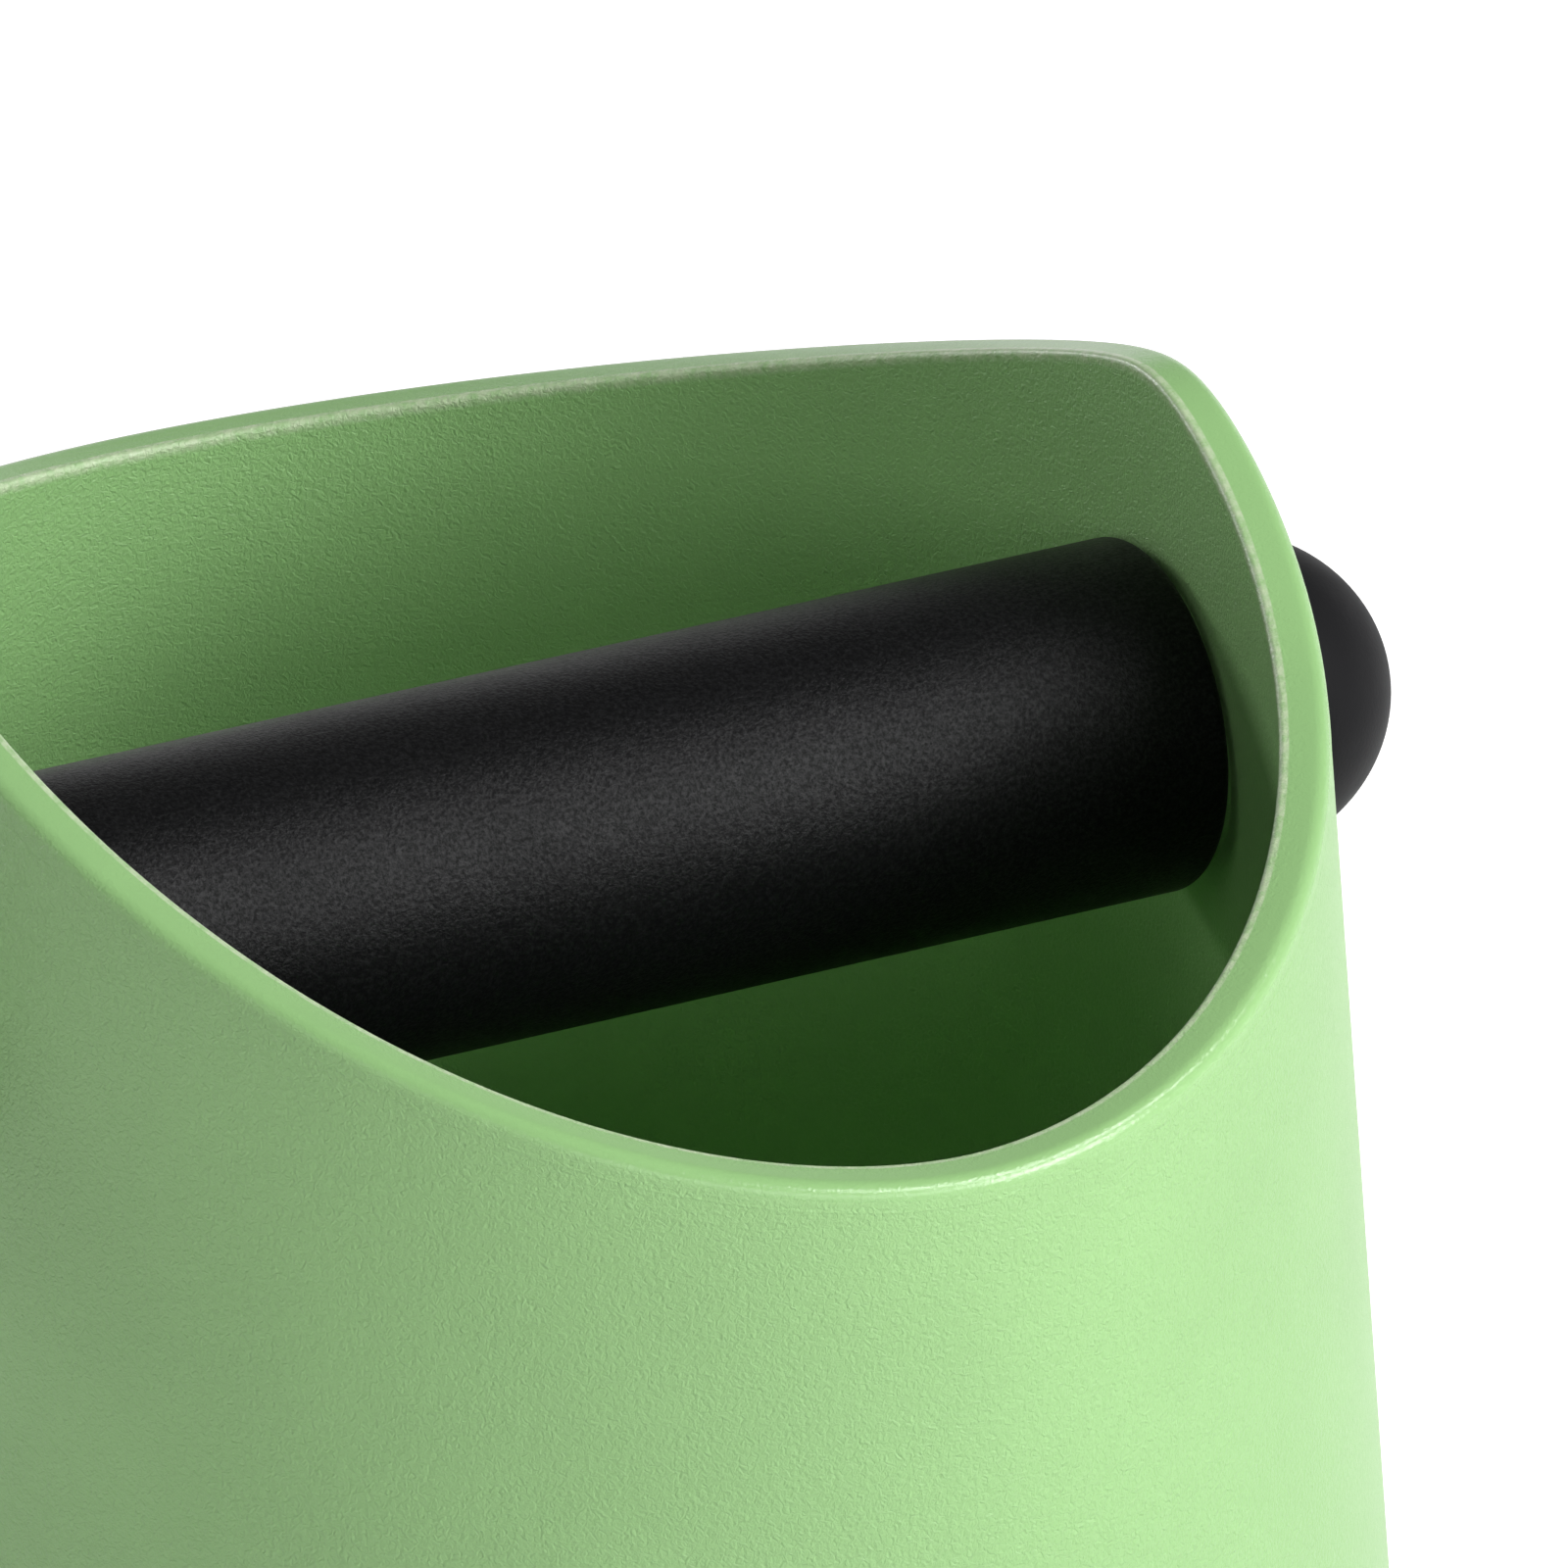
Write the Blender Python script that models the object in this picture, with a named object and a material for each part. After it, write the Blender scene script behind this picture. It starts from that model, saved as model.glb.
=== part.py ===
"""Espresso knock box: an oval tapered tub with a saddle rim, a rubber sleeved bar across it
and a screw cap on each side that holds the bar in the walls.

Metres, +Z up. X runs along the bar, -Y is the front, and the origin is the centre of the underside.
"""
import math

import bmesh
import bpy
import numpy as np

# Tub: an oval in plan that narrows evenly upwards, with a rim that is high at the bar's ends.
HEIGHT = 0.121
HALF_WIDTH = 0.0660
HALF_DEPTH = 0.0811
LEAN = 0.080
OVAL_POWER = 1.895
WALL = 0.0040
FLOOR = 0.0040
FLOOR_FILLET = 0.0060
RIM_SLOPE = 0.372
RIM_CROWN = 0.0024
RIM_ROUND = 0.0010

# Boot: a shallow rubber tray that the tub's foot is pressed into, flush with the wall.
BOOT_FLOOR = 0.0025
BOOT_WRAP = 0.0020
BOOT_LIP = 0.0040
BOOT_EDGE = 0.0006

# Bar: a steel core in a thick rubber sleeve, with a washer let into each end of the sleeve.
BAR_BELOW_RIM = 0.0290
SLEEVE_RADIUS = 0.0140
SLEEVE_ROUND = 0.0009
SLEEVE_LIP = 0.0030
CORE_RADIUS = 0.0050
CORE_SHOULDER = 0.0010
THREAD_CHAMFER = 0.0008
BAR_WASHER_THICK = 0.0008

# Bosses: flat round seats on both faces of the wall, square to the bar.
INNER_BOSS_SETBACK = 0.0020
OUTER_BOSS_MARGIN = 0.0015
OUTER_BOSS_PROUD = 0.00045

# Caps: the dome is the outer part of an ellipsoid whose centre lies below the base. A brass insert
# in each cap stands through the seal.
CAP_RADIUS = 0.0125
CAP_HEIGHT = 0.0109
CAP_CENTRE_BELOW = 0.0031
CAP_EDGE = 0.0005
CAP_TOP = 0.0039
INSERT_WALL = 0.0017
SEAL_SETBACK = 0.0005
SEAL_THICK = 0.0010

# Gap left between pieces that touch, and the running clearance of the core in what it passes through.
GAP = 0.0003
RUN_CLEARANCE = 0.0003

OVAL_STEPS = 112
ROUND_STEPS = 48
SMOOTH_ANGLE = math.radians(32)

bar_height = HEIGHT - BAR_BELOW_RIM
tub_bottom = BOOT_FLOOR + GAP
tub_floor_top = tub_bottom + FLOOR
boot_top = BOOT_FLOOR + BOOT_LIP
core_hole_radius = CORE_RADIUS + RUN_CLEARANCE
thread_radius = CORE_RADIUS - CORE_SHOULDER
thread_hole_radius = thread_radius + RUN_CLEARANCE
insert_radius = thread_hole_radius + INSERT_WALL
bar_washer_radius = SLEEVE_RADIUS - SLEEVE_LIP
inner_boss_radius = SLEEVE_RADIUS - INNER_BOSS_SETBACK
outer_boss_radius = CAP_RADIUS + OUTER_BOSS_MARGIN


def wall_around_bar(radius, inset):
    """How far out along the bar the wall stands, at points on a circle about the bar's axis."""
    angles = np.linspace(0.0, 2.0 * math.pi, 360, endpoint=False)
    level = bar_height + radius * np.sin(angles)
    depth = HALF_DEPTH - LEAN * level - inset
    share = 1.0 - np.abs(radius * np.cos(angles) / depth) ** OVAL_POWER
    return (HALF_WIDTH - LEAN * level - inset) * share ** (1.0 / OVAL_POWER)


inner_seat = float(np.min(wall_around_bar(SLEEVE_RADIUS, WALL)))
outer_seat = float(np.max(wall_around_bar(outer_boss_radius, 0.0))) + OUTER_BOSS_PROUD
sleeve_end = inner_seat - GAP
bar_washer_in = sleeve_end - BAR_WASHER_THICK
washer_recess = bar_washer_in - GAP
seal_in = outer_seat + GAP
seal_out = seal_in + SEAL_THICK
cap_base = seal_out + GAP
insert_end = cap_base + CAP_HEIGHT - CAP_TOP
core_end = insert_end - GAP


def clear_scene():
    for old in list(bpy.data.objects):
        bpy.data.objects.remove(old, do_unlink=True)


def material(name, color, roughness, metallic):
    made = bpy.data.materials.new(name)
    made.use_nodes = True
    shader = made.node_tree.nodes["Principled BSDF"]
    shader.inputs["Base Color"].default_value = (*color, 1.0)
    shader.inputs["Roughness"].default_value = roughness
    shader.inputs["Metallic"].default_value = metallic
    return made


def add_object(name, vertices, faces, look, height):
    mesh = bpy.data.meshes.new(name)
    mesh.from_pydata([tuple(map(float, point)) for point in vertices], [], faces)
    shape = bmesh.new()
    shape.from_mesh(mesh)
    bmesh.ops.recalc_face_normals(shape, faces=shape.faces)
    shape.to_mesh(mesh)
    shape.free()
    mesh.shade_smooth()
    mesh.set_sharp_from_angle(angle=SMOOTH_ANGLE)
    if look:
        mesh.materials.append(look)
    made = bpy.data.objects.new(name, mesh)
    made.location = (0.0, 0.0, height)
    bpy.context.scene.collection.objects.link(made)
    return made


def band_faces(lower, upper):
    """Quads between two rings of vertex numbers, or triangles where one ring is a single point."""
    count = max(len(lower), len(upper))
    faces = []
    for i in range(count):
        j = (i + 1) % count
        if len(lower) == 1:
            faces.append((lower[0], upper[j], upper[i]))
        elif len(upper) == 1:
            faces.append((lower[i], lower[j], upper[0]))
        else:
            faces.append((lower[i], lower[j], upper[j], upper[i]))
    return faces


def skin(name, rings, look, height, closed):
    """One closed body from rings of points; a ring of one point is a pole."""
    vertices = np.concatenate(rings)
    starts = np.cumsum([0] + [len(ring) for ring in rings])
    numbers = [list(range(starts[k], starts[k + 1])) for k in range(len(rings))]
    faces = []
    for k in range(len(rings) - 1):
        faces += band_faces(numbers[k], numbers[k + 1])
    if closed:
        faces += band_faces(numbers[-1], numbers[0])
    return add_object(name, vertices, faces, look, height)


def turned(name, profile, look=None, side=1, closed=False, steps=ROUND_STEPS):
    """A piece turned about the bar's axis from (x, radius) points, on the right or left side."""
    angles = np.linspace(0.0, 2.0 * math.pi, steps, endpoint=False)
    rings = []
    for x, radius in profile:
        if radius == 0.0:
            rings.append(np.array([[side * x, 0.0, 0.0]]))
        else:
            across = radius * np.cos(angles)
            up = radius * np.sin(angles)
            rings.append(np.stack([np.full(steps, side * x), across, up], axis=1))
    return skin(name, rings, look, bar_height, closed)


def tube_profile(start, end, inner, outer):
    return [(start, inner), (start, outer), (end, outer), (end, inner)]


oval_angles = np.linspace(0.0, 2.0 * math.pi, OVAL_STEPS, endpoint=False)
oval_x = np.sign(np.cos(oval_angles)) * np.abs(np.cos(oval_angles)) ** (2.0 / OVAL_POWER)
oval_y = np.sign(np.sin(oval_angles)) * np.abs(np.sin(oval_angles)) ** (2.0 / OVAL_POWER)


def oval_ring(height, inset):
    """Ring of the tub's outline at a height, which may differ along the ring, moved in from the outside."""
    level = np.broadcast_to(np.asarray(height, dtype=float), (OVAL_STEPS,))
    x = (HALF_WIDTH - LEAN * level - inset) * oval_x
    y = (HALF_DEPTH - LEAN * level - inset) * oval_y
    return np.stack([x, y, level], axis=1)


def pole(height):
    return np.array([[0.0, 0.0, height]])


def rim_height():
    """Rim level around the oval: straight slopes to front and back, rounded over at the bar's ends."""
    across = (HALF_DEPTH - LEAN * HEIGHT) * oval_y
    return HEIGHT - (np.hypot(RIM_SLOPE * across, RIM_CROWN) - RIM_CROWN)


def build_tub(look):
    rim = rim_height()
    shoulder = rim - RIM_ROUND
    foot_inset = BOOT_WRAP + GAP
    step_top = boot_top + GAP
    fillet_top = tub_floor_top + FLOOR_FILLET
    quarter = np.radians([30.0, 60.0, 90.0])
    rings = [
        pole(tub_bottom),
        oval_ring(tub_bottom, foot_inset),
        oval_ring(step_top, foot_inset),
        oval_ring(step_top, 0.0),
    ]
    for share in (0.35, 0.7, 1.0):
        rings.append(oval_ring(step_top + share * (shoulder - step_top), 0.0))
    for angle in quarter:
        lift = RIM_ROUND * math.sin(angle)
        rings.append(oval_ring(shoulder + lift, RIM_ROUND * (1.0 - math.cos(angle))))
    for angle in quarter[::-1]:
        lift = RIM_ROUND * math.sin(angle)
        rings.append(oval_ring(shoulder + lift, WALL - RIM_ROUND * (1.0 - math.cos(angle))))
    for share in (1.0, 0.65, 0.3, 0.0):
        rings.append(oval_ring(fillet_top + share * (shoulder - fillet_top), WALL))
    for angle in quarter:
        drop = FLOOR_FILLET * math.sin(angle)
        rings.append(oval_ring(fillet_top - drop, WALL + FLOOR_FILLET * (1.0 - math.cos(angle))))
    rings.append(pole(tub_floor_top))
    tub = skin("body_shell", rings, look, 0.0, closed=False)

    buried = HALF_WIDTH - LEAN * bar_height - 0.5 * WALL
    boss_profile = [
        (inner_seat, 0.0),
        (inner_seat, inner_boss_radius),
        (buried, inner_boss_radius),
        (buried, outer_boss_radius),
        (outer_seat, outer_boss_radius),
        (outer_seat, 0.0),
    ]
    for label, side in (("left", -1), ("right", 1)):
        boss = turned(label + "_boss_form", boss_profile, side=side)
        shape_with(tub, boss, "UNION")
    reach = outer_seat + WALL
    hole_profile = [(-reach, 0.0), (-reach, core_hole_radius), (reach, core_hole_radius), (reach, 0.0)]
    shape_with(tub, turned("core_hole_form", hole_profile), "DIFFERENCE")
    return tub


def shape_with(target, form, operation):
    """Join a helper form to a piece, or cut it out of the piece."""
    form.hide_render = True
    form.display_type = "WIRE"
    step = target.modifiers.new(form.name, "BOOLEAN")
    step.operation = operation
    step.solver = "EXACT"
    step.object = form


def build_boot(look):
    rings = [
        pole(0.0),
        oval_ring(0.0, BOOT_EDGE),
        oval_ring(BOOT_EDGE, 0.0),
        oval_ring(boot_top, 0.0),
        oval_ring(boot_top, BOOT_WRAP),
        oval_ring(BOOT_FLOOR, BOOT_WRAP),
        pole(BOOT_FLOOR),
    ]
    return skin("base_boot", rings, look, 0.0, closed=False)


def build_bar(rubber, steel):
    round_over = SLEEVE_ROUND * (1.0 - math.sqrt(0.5))
    half = [
        (washer_recess, core_hole_radius),
        (washer_recess, bar_washer_radius + GAP),
        (sleeve_end, bar_washer_radius + GAP),
        (sleeve_end, SLEEVE_RADIUS - SLEEVE_ROUND),
        (sleeve_end - round_over, SLEEVE_RADIUS - round_over),
        (sleeve_end - SLEEVE_ROUND, SLEEVE_RADIUS),
    ]
    other_half = [(-x, radius) for x, radius in reversed(half)]
    turned("bar_sleeve", half + other_half, rubber, closed=True, steps=64)

    half = [
        (core_end, 0.0),
        (core_end, thread_radius - THREAD_CHAMFER),
        (core_end - THREAD_CHAMFER, thread_radius),
        (outer_seat, thread_radius),
        (outer_seat, CORE_RADIUS),
    ]
    other_half = [(-x, radius) for x, radius in reversed(half)]
    turned("bar_core", half + other_half, steel)


def build_side(label, side, cap_look, brass, rubber, steel):
    washer = tube_profile(bar_washer_in, sleeve_end, core_hole_radius, bar_washer_radius)
    turned(label + "_bar_washer", washer, steel, side, closed=True)

    seal = tube_profile(seal_in, seal_out, insert_radius + GAP, CAP_RADIUS - SEAL_SETBACK)
    turned(label + "_cap_seal", seal, rubber, side, closed=True)

    insert = tube_profile(seal_in, insert_end, thread_hole_radius, insert_radius)
    turned(label + "_cap_insert", insert, brass, side, closed=True)

    pocket_radius = insert_radius + GAP
    pocket_end = insert_end + GAP
    cap = [
        (pocket_end, 0.0),
        (pocket_end, pocket_radius),
        (cap_base, pocket_radius),
        (cap_base, CAP_RADIUS - CAP_EDGE),
    ]
    crown = CAP_HEIGHT + CAP_CENTRE_BELOW
    base_angle = math.asin((CAP_CENTRE_BELOW + CAP_EDGE) / crown)
    widest = CAP_RADIUS / math.cos(base_angle)
    for angle in np.linspace(base_angle, 0.5 * math.pi, 12)[:-1]:
        along = crown * math.sin(angle) - CAP_CENTRE_BELOW
        cap.append((cap_base + along, widest * math.cos(angle)))
    cap.append((cap_base + CAP_HEIGHT, 0.0))
    turned(label + "_cap", cap, cap_look, side)


def build_part():
    clear_scene()
    green = material("green_plastic", (0.36, 0.62, 0.25), 0.42, 0.0)
    boot_rubber = material("boot_rubber", (0.020, 0.020, 0.021), 0.75, 0.0)
    sleeve_rubber = material("sleeve_rubber", (0.026, 0.026, 0.027), 0.60, 0.0)
    seal_rubber = material("seal_rubber", (0.016, 0.016, 0.016), 0.65, 0.0)
    charcoal = material("charcoal_plastic", (0.045, 0.046, 0.048), 0.50, 0.0)
    steel = material("core_steel", (0.62, 0.62, 0.61), 0.30, 1.0)
    washer_steel = material("washer_steel", (0.70, 0.70, 0.69), 0.25, 1.0)
    brass = material("insert_brass", (0.78, 0.60, 0.28), 0.30, 1.0)
    build_tub(green)
    build_boot(boot_rubber)
    build_bar(sleeve_rubber, steel)
    build_side("left", -1, charcoal, brass, seal_rubber, washer_steel)
    build_side("right", 1, charcoal, brass, seal_rubber, washer_steel)


build_part()
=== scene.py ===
import math

import bpy
import numpy as np
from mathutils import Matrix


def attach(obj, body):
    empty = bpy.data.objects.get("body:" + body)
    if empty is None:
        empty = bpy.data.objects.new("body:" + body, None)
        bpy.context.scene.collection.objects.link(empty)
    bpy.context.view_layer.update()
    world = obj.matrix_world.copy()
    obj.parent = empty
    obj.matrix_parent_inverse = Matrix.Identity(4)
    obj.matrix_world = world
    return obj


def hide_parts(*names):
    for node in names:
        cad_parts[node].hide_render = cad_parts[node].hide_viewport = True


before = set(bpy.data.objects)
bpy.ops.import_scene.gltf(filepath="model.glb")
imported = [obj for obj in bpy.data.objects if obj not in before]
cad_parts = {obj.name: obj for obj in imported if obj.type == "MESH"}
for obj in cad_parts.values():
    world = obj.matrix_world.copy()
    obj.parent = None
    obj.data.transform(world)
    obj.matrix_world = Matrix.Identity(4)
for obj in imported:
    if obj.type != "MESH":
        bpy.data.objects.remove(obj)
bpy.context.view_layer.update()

# Tub: one injection moulding in green ABS, an oval cone with a saddle rim that is high at the bar's ends.
# The mould gives the walls a fine grain and the rim a smooth land, and leaves a thin line under its edge.
TUB_HEIGHT = 0.121
TUB_HALF_WIDTH = 0.0660
TUB_HALF_DEPTH = 0.0811
TUB_LEAN = 0.080
TUB_OVAL_POWER = 1.895
TUB_WALL = 0.0040
TUB_UNDERSIDE = 0.0028
TUB_STEP = 0.0068
TUB_STEP_INSET = 0.0023
TUB_EDGE = 0.0004
TUB_FLOOR_TOP = 0.0068
TUB_FLOOR_FILLET = 0.0060
RIM_SLOPE = 0.372
RIM_CROWN = 0.0024
RIM_OUTER_ROUND = 0.0012
RIM_INNER_ROUND = 0.0005
# Width of the band on the land's inner edge that carries the painted highlight.
RIM_HIGHLIGHT_BAND = 0.00025
PARTING_BELOW = 0.0021
PARTING_WIDTH = 0.00012
PARTING_PROUD = 0.000025
PARTING_WAVER = 0.00006
PARTING_WAVES = ((1.0, 7.0, 0.4), (0.6, 17.0, 1.9), (0.4, 41.0, 0.0))
BAR_HEIGHT = 0.092
BOSS_INNER_SEAT = 0.05301
BOSS_OUTER_SEAT = 0.06021
BOSS_INNER_RADIUS = 0.0120
BOSS_OUTER_RADIUS = 0.0140
BOSS_MIDDLE = 0.0566
BOSS_ROUND = 0.0005
CORE_HOLE_RADIUS = 0.0053
GRAIN_SCALE = 2500.0
GRAIN_DEPTH = 0.00018
GRAIN_FROM = 0.0001
GRAIN_FADE = 0.0009
GRAIN_LEAST = 0.25
TUB_GREEN = (0.316, 0.565, 0.222)
# Pale green of the painted highlight on the rim's inner edge.
PAINTED_HIGHLIGHT_GREEN = (0.56, 0.70, 0.44)

# The mesh: columns round each form, rows up a wall, the insets of the rings that fill the flat underside
# and floor, and how far the wall's rows stay clear of the foot's edge, the fillet and the rim's inner edge.
TUB_COLUMNS = 320
TUB_WALL_ROWS = 42
BOSS_COLUMNS = 96
CORE_HOLE_COLUMNS = 72
UNDERSIDE_RINGS = [0.046, 0.034, 0.022, 0.012]
FLOOR_RINGS = [0.016, 0.024, 0.034, 0.046]
FOOT_CLEAR = 0.0003
FILLET_CLEAR = 0.0004
RIM_CLEAR = 0.0006


def oval(turn):
    """Unit oval: the signed powers 2/n of the cosine and sine of the turn, so |x|^n + |y|^n is 1."""
    power = 2.0 / TUB_OVAL_POWER
    across = np.sign(np.cos(turn)) * np.abs(np.cos(turn)) ** power
    along = np.sign(np.sin(turn)) * np.abs(np.sin(turn)) ** power
    return across, along


def rim_level(offset):
    """Level of the rim at a distance in front of or behind the bar: a hyperbola that falls both ways."""
    return TUB_HEIGHT - (np.hypot(RIM_SLOPE * offset, RIM_CROWN) - RIM_CROWN)


def tub_grid(fixed, share, inset, waver=0.0):
    """Grid of an oval cone, one row for each point of its profile.

    A row's level is its fixed level, plus its share of the rim's level at each turn, plus its waver times
    a ripple, which is the sum of three sines of the turn. The half width and half depth shrink by the lean
    times the level, and by the row's inset.
    """
    turn = np.linspace(0.0, 2.0 * math.pi, TUB_COLUMNS, endpoint=False)
    across, along = oval(turn)
    rim = rim_level((TUB_HALF_DEPTH - TUB_LEAN * TUB_HEIGHT) * along)
    ripple = sum(size * np.sin(count * turn + start) for size, count, start in PARTING_WAVES)
    level = fixed[:, None] + share[:, None] * rim + waver * ripple
    return np.stack([
        (TUB_HALF_WIDTH - TUB_LEAN * level - inset[:, None]) * across,
        (TUB_HALF_DEPTH - TUB_LEAN * level - inset[:, None]) * along,
        level,
    ], axis=-1)


def quarter_round(count):
    """Sines and cosines of evenly spaced angles over a quarter turn, for the round of an edge."""
    angle = np.radians(np.linspace(0.0, 90.0, count))
    return np.sin(angle), np.cos(angle)


def profile_rows(*segments):
    """Joins segments given as (fixed level, share of the rim, inset), each a number or an array."""
    rows = [np.stack(np.broadcast_arrays(*map(np.atleast_1d, segment))) for segment in segments]
    return np.concatenate(rows, axis=1).astype(float)


def piece_from_grid(name, points, ends="points"):
    """Closed piece from a grid whose columns run round it.

    The ends of the rows are closed by a point each, or joined to each other when they are a loop. All
    faces are turned over if the volume that they enclose comes out negative.
    """
    rows, columns = points.shape[:2]
    vertices = points.reshape(-1, 3)
    here = np.arange(columns)
    there = (here + 1) % columns
    start = np.arange(rows if ends == "loop" else rows - 1)[:, None] * columns
    above = (start + columns) % (rows * columns)
    quads = np.stack([start + here, start + there, above + there, above + here], axis=-1).reshape(-1, 4)
    fans = np.zeros((0, 3), dtype=int)
    if ends == "points":
        first = rows * columns
        top = (rows - 1) * columns
        fans = np.concatenate([
            np.stack([np.full(columns, first), there, here], axis=-1),
            np.stack([np.full(columns, first + 1), top + here, top + there], axis=-1),
        ])
        vertices = np.concatenate([vertices, points[:1].mean(axis=1), points[-1:].mean(axis=1)])
    corners = vertices[np.concatenate([quads[:, [0, 1, 2]], quads[:, [0, 2, 3]], fans])]
    if np.einsum("ij,ij->", corners[:, 0], np.cross(corners[:, 1], corners[:, 2])) < 0.0:
        quads = quads[:, ::-1]
        fans = fans[:, ::-1]
    mesh = bpy.data.meshes.new(name)
    mesh.from_pydata(vertices.tolist(), [], quads.tolist() + fans.tolist())
    piece = bpy.data.objects.new(name, mesh)
    bpy.context.scene.collection.objects.link(piece)
    return piece


def smooth_but_crisp(piece, crisp_over=38.0):
    """Smooth shading, with edges that turn by more than an angle in degrees left crisp."""
    piece.data.shade_smooth()
    piece.data.set_sharp_from_angle(angle=math.radians(crisp_over))


def turned_about_bar(along, radius, columns):
    """Grid of a profile turned about the bar's axis: its places along the bar, and its radii.

    The radii are one for each place, or one for each place and column.
    """
    turn = np.linspace(0.0, 2.0 * math.pi, columns, endpoint=False)
    along = np.asarray(along, dtype=float)[:, None]
    radius = np.asarray(radius, dtype=float)
    radius = radius[:, None] if radius.ndim == 1 else radius
    return np.stack(np.broadcast_arrays(
        along,
        radius * np.cos(turn),
        BAR_HEIGHT + radius * np.sin(turn),
    ), axis=-1)


def joined(piece, forms):
    """Adds forms to a piece or cuts them from it, and drops the forms."""
    for form, operation in forms:
        step = piece.modifiers.new(form.name, "BOOLEAN")
        step.operation = operation
        step.solver = "EXACT"
        step.object = form
    shaped = piece.evaluated_get(bpy.context.evaluated_depsgraph_get())
    mesh = bpy.data.meshes.new_from_object(shaped)
    piece.modifiers.clear()
    piece.data = mesh
    for form, operation in forms:
        bpy.data.objects.remove(form, do_unlink=True)


def mark_points(piece, name, values):
    """Stores one number for each point of a piece, under the name that its material reads it by."""
    piece.data.attributes.new(name, "FLOAT", "POINT").data.foreach_set("value", values)


foot_rise, foot_run = quarter_round(5)
rim_rise, rim_run = quarter_round(10)
fill_rise, fill_run = quarter_round(11)
climb = np.linspace(0.0, 1.0, TUB_WALL_ROWS)
bead = np.linspace(-2.0, 2.0, 11)
foot_top = TUB_STEP + TUB_EDGE + FOOT_CLEAR
bead_foot = PARTING_BELOW + 3.0 * PARTING_WIDTH
inside_foot = TUB_FLOOR_TOP + TUB_FLOOR_FILLET + FILLET_CLEAR
inside_top = RIM_INNER_ROUND + RIM_CLEAR
# Where the band of painted highlight on the land's inner edge begins.
highlight_band_from = TUB_WALL - RIM_INNER_ROUND - RIM_HIGHLIGHT_BAND
land = np.append(np.linspace(RIM_OUTER_ROUND, highlight_band_from - 0.5 * RIM_HIGHLIGHT_BAND, 6)[1:], highlight_band_from)
fixed, share, inset = profile_rows(
    (TUB_UNDERSIDE, 0.0, UNDERSIDE_RINGS),
    (TUB_UNDERSIDE + TUB_EDGE * (1.0 - foot_run), 0.0, TUB_STEP_INSET + TUB_EDGE * (1.0 - foot_rise)),
    ([TUB_STEP - TUB_EDGE, TUB_STEP], 0.0, [TUB_STEP_INSET, TUB_STEP_INSET - TUB_EDGE]),
    (TUB_STEP + TUB_EDGE * (1.0 - foot_run), 0.0, TUB_EDGE * (1.0 - foot_rise)),
    ((1.0 - climb) * foot_top - climb * bead_foot, climb, 0.0),
    (bead * PARTING_WIDTH - PARTING_BELOW, 1.0, -PARTING_PROUD * np.exp(-2.0 * bead ** 2)),
    (-RIM_OUTER_ROUND * (1.0 - rim_rise), 1.0, RIM_OUTER_ROUND * (1.0 - rim_run)),
    (0.0, 1.0, land),
    (-RIM_INNER_ROUND * (1.0 - rim_run), 1.0, TUB_WALL - RIM_INNER_ROUND * (1.0 - rim_rise)),
    (climb * inside_foot - (1.0 - climb) * inside_top, 1.0 - climb, TUB_WALL),
    (
        TUB_FLOOR_TOP + TUB_FLOOR_FILLET * (1.0 - fill_rise),
        0.0,
        TUB_WALL + TUB_FLOOR_FILLET * (1.0 - fill_run),
    ),
    (TUB_FLOOR_TOP, 0.0, FLOOR_RINGS),
)
on_bead = (share == 1.0) & (inset < 0.0)
tub = piece_from_grid("tub_moulding", tub_grid(fixed, share, inset, PARTING_WAVER * on_bead[:, None]))

# A thin pale line is painted along the land's inner edge, a painted highlight on its round. The two
# points after the grid's are those that close the underside and the floor.
on_inner_edge = (share == 1.0) & (inset >= highlight_band_from) & (fixed > -RIM_INNER_ROUND)
mark_points(tub, "edge_highlight_paint", np.append(np.repeat(on_inner_edge, TUB_COLUMNS), [False, False]).astype(float))

boss_rise, boss_run = quarter_round(6)
boss_along = np.concatenate([
    [BOSS_INNER_SEAT],
    BOSS_INNER_SEAT + BOSS_ROUND * (1.0 - boss_run),
    [BOSS_MIDDLE, BOSS_MIDDLE],
    BOSS_OUTER_SEAT - BOSS_ROUND * (1.0 - boss_rise),
    [BOSS_OUTER_SEAT],
])
boss_radius = np.concatenate([
    [0.5 * CORE_HOLE_RADIUS],
    BOSS_INNER_RADIUS - BOSS_ROUND * (1.0 - boss_rise),
    [BOSS_INNER_RADIUS, BOSS_OUTER_RADIUS],
    BOSS_OUTER_RADIUS - BOSS_ROUND * (1.0 - boss_run),
    [0.5 * CORE_HOLE_RADIUS],
])
hole_reach = 1.1 * BOSS_OUTER_SEAT
hole_along = [-hole_reach, hole_reach]
hole_radius = [CORE_HOLE_RADIUS, CORE_HOLE_RADIUS]
right_boss = piece_from_grid("right_boss", turned_about_bar(boss_along, boss_radius, BOSS_COLUMNS))
left_boss = piece_from_grid("left_boss", turned_about_bar(-boss_along, boss_radius, BOSS_COLUMNS))
core_hole = piece_from_grid("core_hole", turned_about_bar(hole_along, hole_radius, CORE_HOLE_COLUMNS))
joined(tub, [(right_boss, "UNION"), (left_boss, "UNION"), (core_hole, "DIFFERENCE")])
smooth_but_crisp(tub)

# The grain fades out towards the rim's land, which the mould's parting face leaves nearly smooth.
places = np.empty(3 * len(tub.data.vertices))
tub.data.vertices.foreach_get("co", places)
places = places.reshape(-1, 3)
under_rim = rim_level(places[:, 1]) - places[:, 2]
grain_share = np.clip((under_rim - GRAIN_FROM) / GRAIN_FADE, 0.0, 1.0)
mark_points(tub, "grain_share", GRAIN_LEAST + (1.0 - GRAIN_LEAST) * grain_share)


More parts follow.
